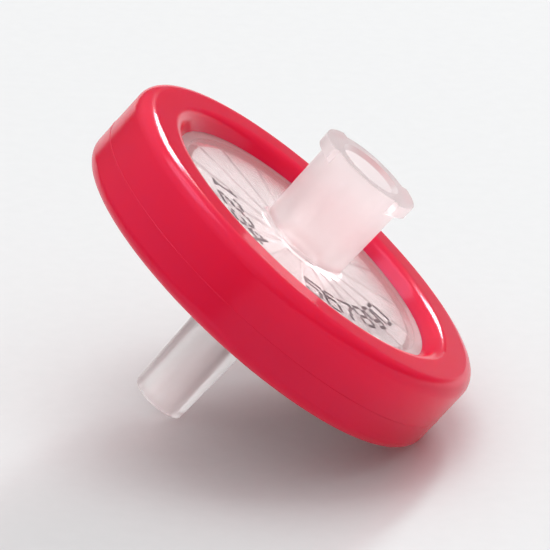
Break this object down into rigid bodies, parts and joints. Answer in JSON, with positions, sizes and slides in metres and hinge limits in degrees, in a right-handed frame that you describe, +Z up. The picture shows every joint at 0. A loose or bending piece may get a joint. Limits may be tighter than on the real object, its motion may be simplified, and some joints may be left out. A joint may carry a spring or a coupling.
{
  "type": "syringe filter",
  "caption": "Disc syringe filter: two translucent luer-ended housing halves clamp a membrane inside a red moulded sealing ring; it lies on its ring and outlet tip.",
  "frame": {"origin": "on the surface that the filter lies on, under the middle of the ring: the bottom centre of the whole part's box", "axes": "+Z up; the filter's own axis lies in the XZ plane and leans towards +X by 38.7 degrees from +Z, with the inlet at its upper end; +Y is level, across the ring"},
  "size_m": [0.0264, 0.03, 0.0228],
  "materials": {
    "ring_plastic": "glossy moulded red polypropylene",
    "clear_plastic": "translucent natural polypropylene with a faint pink cast",
    "membrane_film": "matt white porous film",
    "print_ink": "dark ink of the plain numbers printed on the window, which only the visual model has"
  },
  "bodies": {
    "root": {"sealing_ring": "ring_plastic", "inlet_housing": "clear_plastic", "outlet_housing": "clear_plastic", "membrane": "membrane_film"}
  },
  "joints": []
}
